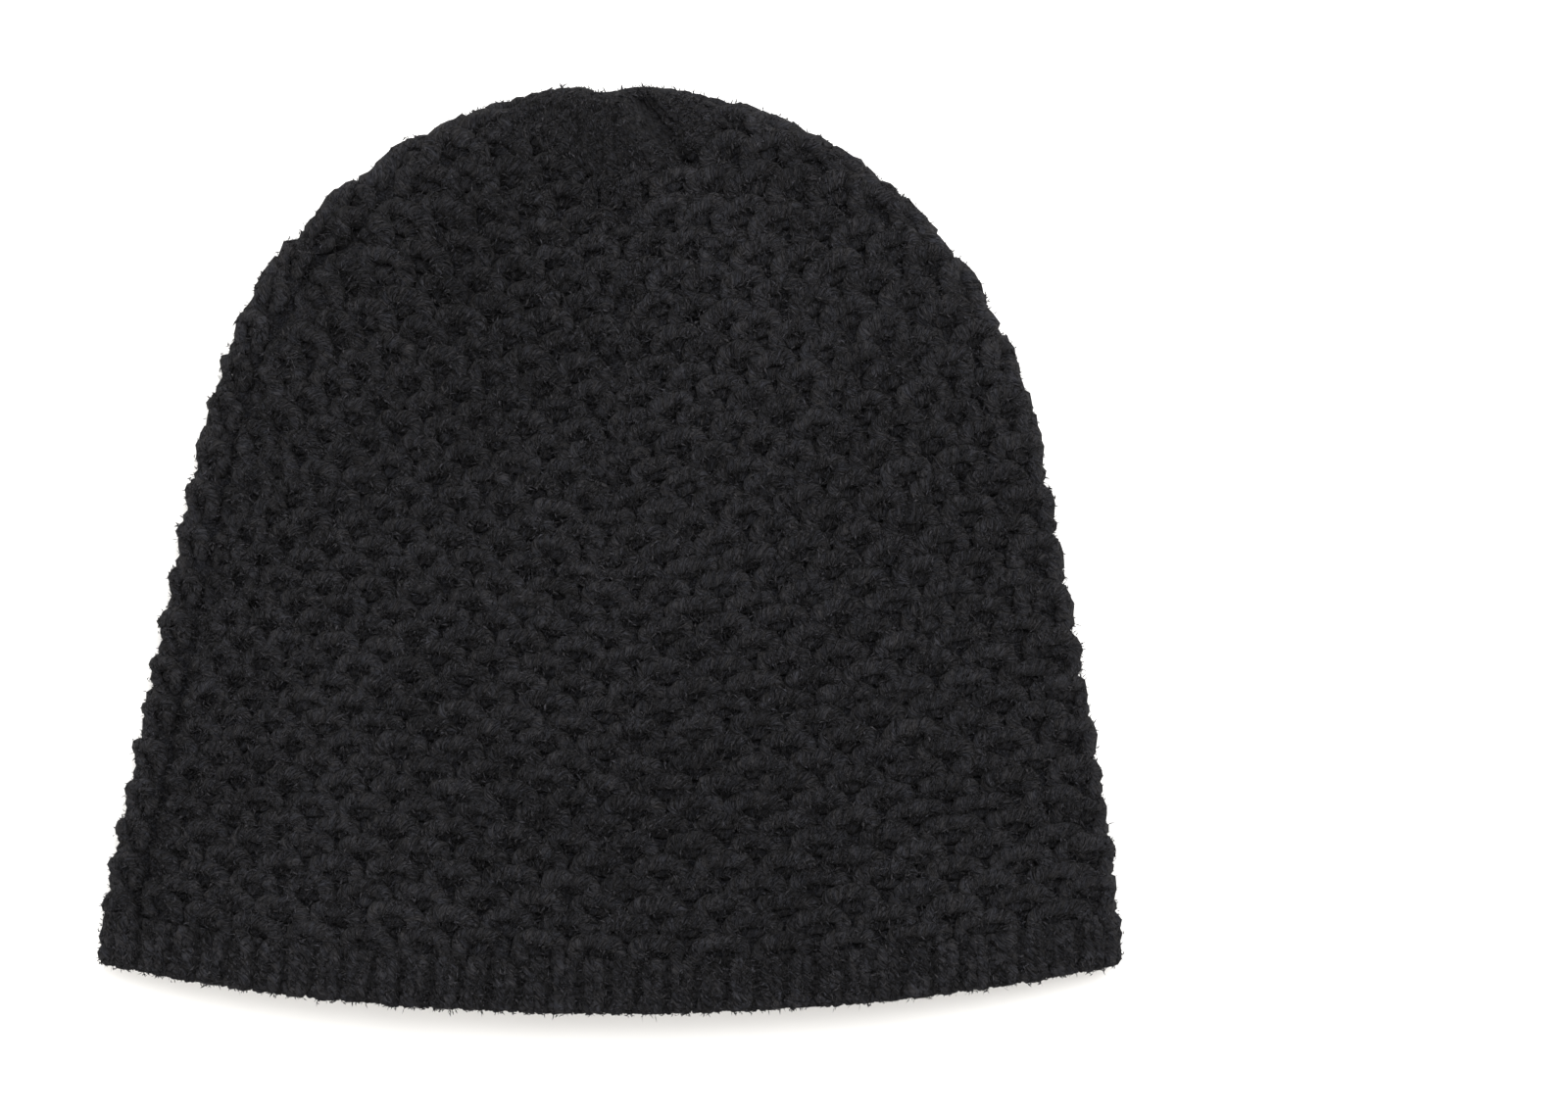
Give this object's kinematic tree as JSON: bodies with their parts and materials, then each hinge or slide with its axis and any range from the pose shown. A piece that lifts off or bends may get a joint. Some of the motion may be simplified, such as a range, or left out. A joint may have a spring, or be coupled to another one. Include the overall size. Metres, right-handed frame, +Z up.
{
  "type": "knit skull cap",
  "caption": "Close-fitting knit skull cap lying flat: hollow two-layer body of chunky honeycomb knit with a ribbed hem, an open mouth and a gathered crown.",
  "frame": {"origin": "centre of the bounding box, on the surface that the cap lies on", "axes": "+X across the cap from one side fold to the other, +Y from the open hem to the closed crown, +Z up from the surface"},
  "size_m": [0.2306, 0.2096, 0.0228],
  "materials": {
    "rib_knit": "matt charcoal-black wool, one by one rib",
    "honeycomb_knit": "matt charcoal-black wool, chunky honeycomb tuck stitch",
    "plain_knit": "matt charcoal-black wool, fine gathered plain knit"
  },
  "bodies": {
    "root": {"ribbed_hem": "rib_knit", "knit_body": "honeycomb_knit", "gathered_crown": "plain_knit"}
  },
  "joints": []
}
